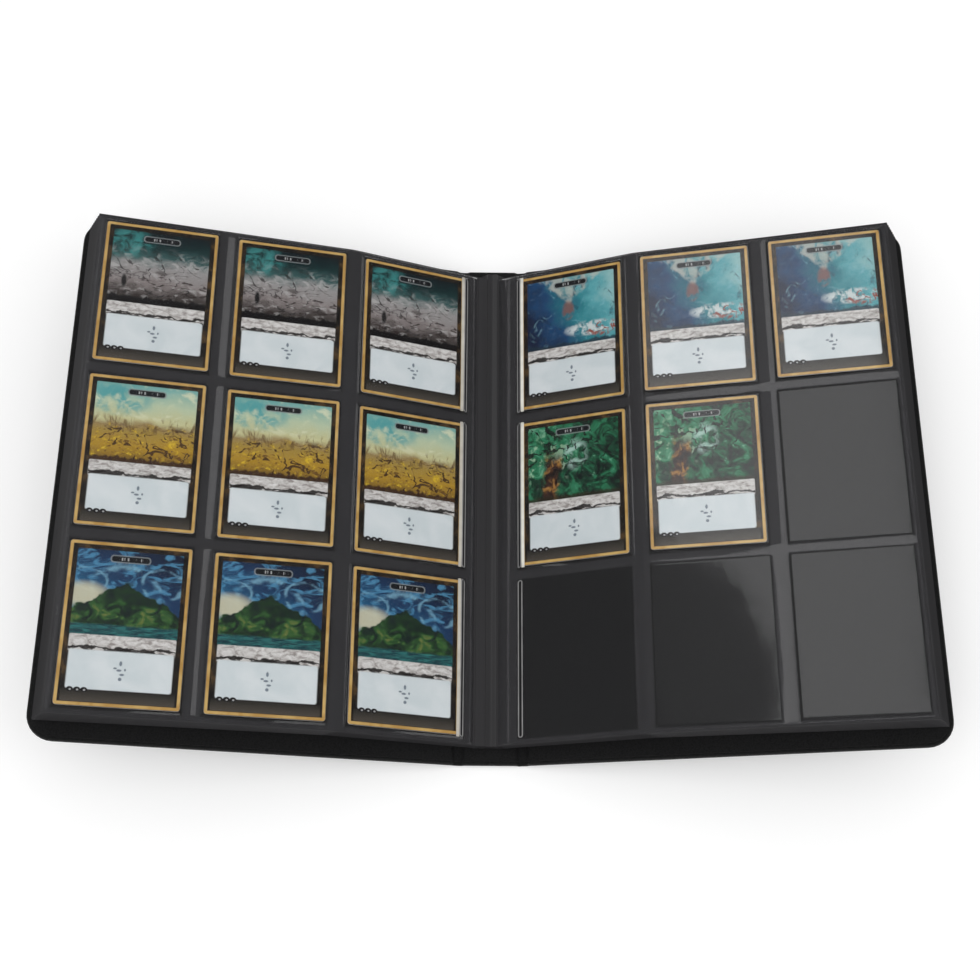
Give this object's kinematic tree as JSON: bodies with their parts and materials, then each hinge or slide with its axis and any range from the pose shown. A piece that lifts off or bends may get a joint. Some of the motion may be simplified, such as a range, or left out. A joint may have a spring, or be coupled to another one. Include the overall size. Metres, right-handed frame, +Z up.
{
  "type": "trading card binder",
  "caption": "Open side-loading pocket binder in a soft board-stiffened cover, with bound dark pages, clear pockets and removable cards.",
  "frame": {"origin": "middle of the spine's underside, on the surface that the open binder lies on", "axes": "+X across the open binder towards the back cover, +Y towards the top of the pages, +Z up"},
  "size_m": [0.4778, 0.308, 0.0796],
  "materials": {
    "cover_skin": "matt textured synthetic leather",
    "stiffener_board": "plain grey board",
    "cover_lining": "smooth synthetic leather",
    "binding": "welded and glued",
    "page_core": "satin",
    "pocket_film": "clear gloss",
    "card": "printed and coated"
  },
  "bodies": {
    "spine": {"spine_skin": "cover_skin", "spine_board": "stiffener_board", "page_binding": "binding"},
    "front_cover": {"front_cover_skin": "cover_skin", "front_cover_board": "stiffener_board", "front_cover_lining": "cover_lining"},
    "front_leaf_1": {"front_leaf_1_inner": "page_core"},
    "front_leaf_1_outer": {"front_leaf_1_outer": "page_core"},
    "front_leaf_2": {"front_leaf_2_inner": "page_core"},
    "front_leaf_2_outer": {"front_leaf_2_outer": "page_core"},
    "front_leaf_3": {"front_leaf_3_inner": "page_core"},
    "front_leaf_3_outer": {"front_leaf_3_outer": "page_core"},
    "front_leaf_4": {"front_leaf_4_inner": "page_core"},
    "front_leaf_4_outer": {"front_leaf_4_outer": "page_core"},
    "front_leaf_5": {"front_leaf_5_inner": "page_core"},
    "front_leaf_5_outer": {"front_leaf_5_outer": "page_core"},
    "front_leaf_6": {"front_leaf_6_inner": "page_core", "front_leaf_7_root": "page_core"},
    "front_leaf_6_outer": {"front_leaf_6_outer": "page_core"},
    "front_leaf_7": {"front_leaf_7_inner": "page_core", "front_leaf_7_inner_film": "pocket_film"},
    "front_leaf_7_outer": {"front_leaf_7_outer": "page_core", "front_leaf_7_outer_film": "pocket_film"},
    "front_card_r1_c1": {"front_card_r1_c1": "card"},
    "front_card_r1_c2": {"front_card_r1_c2": "card"},
    "front_card_r1_c3": {"front_card_r1_c3": "card"},
    "front_card_r2_c1": {"front_card_r2_c1": "card"},
    "front_card_r2_c2": {"front_card_r2_c2": "card"},
    "front_card_r2_c3": {"front_card_r2_c3": "card"},
    "front_card_r3_c1": {"front_card_r3_c1": "card"},
    "front_card_r3_c2": {"front_card_r3_c2": "card"},
    "front_card_r3_c3": {"front_card_r3_c3": "card"},
    "back_cover": {"back_cover_skin": "cover_skin", "back_cover_board": "stiffener_board", "back_cover_lining": "cover_lining"},
    "back_leaf_1": {"back_leaf_1_inner": "page_core"},
    "back_leaf_1_outer": {"back_leaf_1_outer": "page_core"},
    "back_leaf_2": {"back_leaf_2_inner": "page_core"},
    "back_leaf_2_outer": {"back_leaf_2_outer": "page_core"},
    "back_leaf_3": {"back_leaf_3_inner": "page_core"},
    "back_leaf_3_outer": {"back_leaf_3_outer": "page_core"},
    "back_leaf_4": {"back_leaf_4_inner": "page_core"},
    "back_leaf_4_outer": {"back_leaf_4_outer": "page_core"},
    "back_leaf_5": {"back_leaf_5_inner": "page_core"},
    "back_leaf_5_outer": {"back_leaf_5_outer": "page_core"},
    "back_leaf_6": {"back_leaf_6_inner": "page_core"},
    "back_leaf_6_outer": {"back_leaf_6_outer": "page_core"},
    "back_leaf_7": {"back_leaf_7_inner": "page_core", "back_leaf_7_inner_film": "pocket_film"},
    "back_leaf_7_outer": {"back_leaf_7_outer": "page_core", "back_leaf_7_outer_film": "pocket_film"},
    "back_card_r1_c1": {"back_card_r1_c1": "card"},
    "back_card_r1_c2": {"back_card_r1_c2": "card"},
    "back_card_r1_c3": {"back_card_r1_c3": "card"},
    "back_card_r2_c1": {"back_card_r2_c1": "card"},
    "back_card_r2_c2": {"back_card_r2_c2": "card"}
  },
  "joints": [
    {"name": "front_cover_fold", "type": "hinge", "parent": "spine", "child": "front_cover", "pos_m": [-0.018, 0, 0.0004], "axis": [0, 1, 0], "range_deg": [-14.2, 74]},
    {"name": "front_leaf_1_root_fold", "type": "hinge", "parent": "spine", "child": "front_leaf_1", "pos_m": [-0.0084, 0, 0.005], "axis": [0, 1, 0], "range_deg": [-12.89, 67.15]},
    {"name": "front_leaf_1_bend", "type": "hinge", "parent": "front_leaf_1", "child": "front_leaf_1_outer", "pos_m": [-0.08825, 0, 0.03384], "axis": [0, 1, 0], "range_deg": [-1.57, 8.2]},
    {"name": "front_leaf_2_root_fold", "type": "hinge", "parent": "spine", "child": "front_leaf_2", "pos_m": [-0.0075, 0, 0.0057], "axis": [0, 1, 0], "range_deg": [-12.85, 66.94]},
    {"name": "front_leaf_2_bend", "type": "hinge", "parent": "front_leaf_2", "child": "front_leaf_2_outer", "pos_m": [-0.08712, 0, 0.03517], "axis": [0, 1, 0], "range_deg": [-1.57, 8.2]},
    {"name": "front_leaf_3_root_fold", "type": "hinge", "parent": "spine", "child": "front_leaf_3", "pos_m": [-0.0066, 0, 0.0064], "axis": [0, 1, 0], "range_deg": [-12.81, 66.73]},
    {"name": "front_leaf_3_bend", "type": "hinge", "parent": "front_leaf_3", "child": "front_leaf_3_outer", "pos_m": [-0.08598, 0, 0.03651], "axis": [0, 1, 0], "range_deg": [-1.57, 8.2]},
    {"name": "front_leaf_4_root_fold", "type": "hinge", "parent": "spine", "child": "front_leaf_4", "pos_m": [-0.0057, 0, 0.0071], "axis": [0, 1, 0], "range_deg": [-12.77, 66.52]},
    {"name": "front_leaf_4_bend", "type": "hinge", "parent": "front_leaf_4", "child": "front_leaf_4_outer", "pos_m": [-0.08484, 0, 0.03784], "axis": [0, 1, 0], "range_deg": [-1.57, 8.2]},
    {"name": "front_leaf_5_root_fold", "type": "hinge", "parent": "spine", "child": "front_leaf_5", "pos_m": [-0.0048, 0, 0.0078], "axis": [0, 1, 0], "range_deg": [-12.73, 66.32]},
    {"name": "front_leaf_5_bend", "type": "hinge", "parent": "front_leaf_5", "child": "front_leaf_5_outer", "pos_m": [-0.08369, 0, 0.03917], "axis": [0, 1, 0], "range_deg": [-1.57, 8.2]},
    {"name": "front_leaf_6_root_fold", "type": "hinge", "parent": "spine", "child": "front_leaf_6", "pos_m": [-0.0039, 0, 0.0085], "axis": [0, 1, 0], "range_deg": [-12.69, 66.11]},
    {"name": "front_leaf_6_bend", "type": "hinge", "parent": "front_leaf_6", "child": "front_leaf_6_outer", "pos_m": [-0.08254, 0, 0.0405], "axis": [0, 1, 0], "range_deg": [-1.57, 8.2]},
    {"name": "page_turn", "type": "hinge", "parent": "front_leaf_6", "child": "front_leaf_7", "pos_m": [-0.00854, 0, 0.01151], "axis": [0, -1, 0], "range_deg": [-130, 0]},
    {"name": "front_leaf_7_bend", "type": "hinge", "parent": "front_leaf_7", "child": "front_leaf_7_outer", "pos_m": [-0.08138, 0, 0.04183], "axis": [0, 1, 0], "range_deg": [-1.57, 8.2]},
    {"name": "front_card_r1_c1_slide", "type": "slide", "parent": "front_leaf_7", "child": "front_card_r1_c1", "axis": [0.9298, 0, -0.3681], "range_m": [0, 0.014]},
    {"name": "front_card_r1_c2_slide", "type": "slide", "parent": "front_leaf_7_outer", "child": "front_card_r1_c2", "axis": [0.9728, 0, -0.2317], "range_m": [0, 0.066]},
    {"name": "front_card_r1_c3_slide", "type": "slide", "parent": "front_leaf_7_outer", "child": "front_card_r1_c3", "axis": [0.9728, 0, -0.2317], "range_m": [0, 0.066]},
    {"name": "front_card_r2_c1_slide", "type": "slide", "parent": "front_leaf_7", "child": "front_card_r2_c1", "axis": [0.9298, 0, -0.3681], "range_m": [0, 0.014]},
    {"name": "front_card_r2_c2_slide", "type": "slide", "parent": "front_leaf_7_outer", "child": "front_card_r2_c2", "axis": [0.9728, 0, -0.2317], "range_m": [0, 0.066]},
    {"name": "front_card_r2_c3_slide", "type": "slide", "parent": "front_leaf_7_outer", "child": "front_card_r2_c3", "axis": [0.9728, 0, -0.2317], "range_m": [0, 0.066]},
    {"name": "front_card_r3_c1_slide", "type": "slide", "parent": "front_leaf_7", "child": "front_card_r3_c1", "axis": [0.9298, 0, -0.3681], "range_m": [0, 0.014]},
    {"name": "front_card_r3_c2_slide", "type": "slide", "parent": "front_leaf_7_outer", "child": "front_card_r3_c2", "axis": [0.9728, 0, -0.2317], "range_m": [0, 0.066]},
    {"name": "front_card_r3_c3_slide", "type": "slide", "parent": "front_leaf_7_outer", "child": "front_card_r3_c3", "axis": [0.9728, 0, -0.2317], "range_m": [0, 0.066]},
    {"name": "back_cover_fold", "type": "hinge", "parent": "spine", "child": "back_cover", "pos_m": [0.018, 0, 0.0004], "axis": [0, -1, 0], "range_deg": [-14.2, 74]},
    {"name": "back_leaf_1_root_fold", "type": "hinge", "parent": "spine", "child": "back_leaf_1", "pos_m": [0.0084, 0, 0.005], "axis": [0, -1, 0], "range_deg": [-12.89, 67.15]},
    {"name": "back_leaf_1_bend", "type": "hinge", "parent": "back_leaf_1", "child": "back_leaf_1_outer", "pos_m": [0.08825, 0, 0.03384], "axis": [0, -1, 0], "range_deg": [-1.57, 8.2]},
    {"name": "back_leaf_2_root_fold", "type": "hinge", "parent": "spine", "child": "back_leaf_2", "pos_m": [0.0075, 0, 0.0057], "axis": [0, -1, 0], "range_deg": [-12.85, 66.94]},
    {"name": "back_leaf_2_bend", "type": "hinge", "parent": "back_leaf_2", "child": "back_leaf_2_outer", "pos_m": [0.08712, 0, 0.03517], "axis": [0, -1, 0], "range_deg": [-1.57, 8.2]},
    {"name": "back_leaf_3_root_fold", "type": "hinge", "parent": "spine", "child": "back_leaf_3", "pos_m": [0.0066, 0, 0.0064], "axis": [0, -1, 0], "range_deg": [-12.81, 66.73]},
    {"name": "back_leaf_3_bend", "type": "hinge", "parent": "back_leaf_3", "child": "back_leaf_3_outer", "pos_m": [0.08598, 0, 0.03651], "axis": [0, -1, 0], "range_deg": [-1.57, 8.2]},
    {"name": "back_leaf_4_root_fold", "type": "hinge", "parent": "spine", "child": "back_leaf_4", "pos_m": [0.0057, 0, 0.0071], "axis": [0, -1, 0], "range_deg": [-12.77, 66.52]},
    {"name": "back_leaf_4_bend", "type": "hinge", "parent": "back_leaf_4", "child": "back_leaf_4_outer", "pos_m": [0.08484, 0, 0.03784], "axis": [0, -1, 0], "range_deg": [-1.57, 8.2]},
    {"name": "back_leaf_5_root_fold", "type": "hinge", "parent": "spine", "child": "back_leaf_5", "pos_m": [0.0048, 0, 0.0078], "axis": [0, -1, 0], "range_deg": [-12.73, 66.32]},
    {"name": "back_leaf_5_bend", "type": "hinge", "parent": "back_leaf_5", "child": "back_leaf_5_outer", "pos_m": [0.08369, 0, 0.03917], "axis": [0, -1, 0], "range_deg": [-1.57, 8.2]},
    {"name": "back_leaf_6_root_fold", "type": "hinge", "parent": "spine", "child": "back_leaf_6", "pos_m": [0.0039, 0, 0.0085], "axis": [0, -1, 0], "range_deg": [-12.69, 66.11]},
    {"name": "back_leaf_6_bend", "type": "hinge", "parent": "back_leaf_6", "child": "back_leaf_6_outer", "pos_m": [0.08254, 0, 0.0405], "axis": [0, -1, 0], "range_deg": [-1.57, 8.2]},
    {"name": "back_leaf_7_root_fold", "type": "hinge", "parent": "spine", "child": "back_leaf_7", "pos_m": [0.003, 0, 0.0092], "axis": [0, -1, 0], "range_deg": [-12.65, 65.9]},
    {"name": "back_leaf_7_bend", "type": "hinge", "parent": "back_leaf_7", "child": "back_leaf_7_outer", "pos_m": [0.08138, 0, 0.04183], "axis": [0, -1, 0], "range_deg": [-1.57, 8.2]},
    {"name": "back_card_r1_c1_slide", "type": "slide", "parent": "back_leaf_7", "child": "back_card_r1_c1", "axis": [-0.9298, 0, -0.3681], "range_m": [0, 0.014]},
    {"name": "back_card_r1_c2_slide", "type": "slide", "parent": "back_leaf_7_outer", "child": "back_card_r1_c2", "axis": [-0.9728, 0, -0.2317], "range_m": [0, 0.066]},
    {"name": "back_card_r1_c3_slide", "type": "slide", "parent": "back_leaf_7_outer", "child": "back_card_r1_c3", "axis": [-0.9728, 0, -0.2317], "range_m": [0, 0.066]},
    {"name": "back_card_r2_c1_slide", "type": "slide", "parent": "back_leaf_7", "child": "back_card_r2_c1", "axis": [-0.9298, 0, -0.3681], "range_m": [0, 0.014]},
    {"name": "back_card_r2_c2_slide", "type": "slide", "parent": "back_leaf_7_outer", "child": "back_card_r2_c2", "axis": [-0.9728, 0, -0.2317], "range_m": [0, 0.066]}
  ],
  "couplings": [
    {"joint": "front_leaf_1_root_fold", "follows": "front_cover_fold", "ratio": 0.90736},
    {"joint": "front_leaf_1_bend", "follows": "front_cover_fold", "ratio": 0.11081},
    {"joint": "front_leaf_2_root_fold", "follows": "front_cover_fold", "ratio": 0.90456},
    {"joint": "front_leaf_2_bend", "follows": "front_cover_fold", "ratio": 0.11081},
    {"joint": "front_leaf_3_root_fold", "follows": "front_cover_fold", "ratio": 0.90176},
    {"joint": "front_leaf_3_bend", "follows": "front_cover_fold", "ratio": 0.11081},
    {"joint": "front_leaf_4_root_fold", "follows": "front_cover_fold", "ratio": 0.89895},
    {"joint": "front_leaf_4_bend", "follows": "front_cover_fold", "ratio": 0.11081},
    {"joint": "front_leaf_5_root_fold", "follows": "front_cover_fold", "ratio": 0.89615},
    {"joint": "front_leaf_5_bend", "follows": "front_cover_fold", "ratio": 0.11081},
    {"joint": "front_leaf_6_root_fold", "follows": "front_cover_fold", "ratio": 0.89334},
    {"joint": "front_leaf_6_bend", "follows": "front_cover_fold", "ratio": 0.11081},
    {"joint": "front_leaf_7_bend", "follows": "front_cover_fold", "ratio": 0.11081},
    {"joint": "back_leaf_1_root_fold", "follows": "back_cover_fold", "ratio": 0.90736},
    {"joint": "back_leaf_1_bend", "follows": "back_cover_fold", "ratio": 0.11081},
    {"joint": "back_leaf_2_root_fold", "follows": "back_cover_fold", "ratio": 0.90456},
    {"joint": "back_leaf_2_bend", "follows": "back_cover_fold", "ratio": 0.11081},
    {"joint": "back_leaf_3_root_fold", "follows": "back_cover_fold", "ratio": 0.90176},
    {"joint": "back_leaf_3_bend", "follows": "back_cover_fold", "ratio": 0.11081},
    {"joint": "back_leaf_4_root_fold", "follows": "back_cover_fold", "ratio": 0.89895},
    {"joint": "back_leaf_4_bend", "follows": "back_cover_fold", "ratio": 0.11081},
    {"joint": "back_leaf_5_root_fold", "follows": "back_cover_fold", "ratio": 0.89615},
    {"joint": "back_leaf_5_bend", "follows": "back_cover_fold", "ratio": 0.11081},
    {"joint": "back_leaf_6_root_fold", "follows": "back_cover_fold", "ratio": 0.89334},
    {"joint": "back_leaf_6_bend", "follows": "back_cover_fold", "ratio": 0.11081},
    {"joint": "back_leaf_7_root_fold", "follows": "back_cover_fold", "ratio": 0.89054},
    {"joint": "back_leaf_7_bend", "follows": "back_cover_fold", "ratio": 0.11081}
  ]
}
